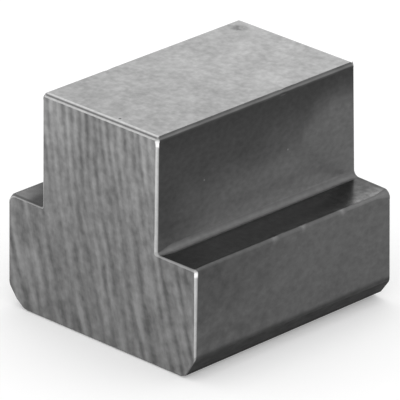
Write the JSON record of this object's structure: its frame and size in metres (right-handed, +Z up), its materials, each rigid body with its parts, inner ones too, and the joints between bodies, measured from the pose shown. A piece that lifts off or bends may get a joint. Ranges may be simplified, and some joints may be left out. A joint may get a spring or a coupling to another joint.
{
  "type": "t slot nut blank",
  "caption": "Plain steel T-section nut blank that slides along a machine-table slot and clamps up under its lips.",
  "frame": {"origin": "middle of the underside, halfway between the two sawn ends", "axes": "+X across the slot, +Y along the slot, +Z up from the underside through the neck"},
  "size_m": [0.0384, 0.04, 0.0355],
  "materials": {
    "bare_steel": "bare steel: smooth drawn sides, fine-ground top, coarse saw marks on both ends, bright broken edges"
  },
  "bodies": {
    "root": {"t_slot_nut": "bare_steel"}
  },
  "joints": []
}
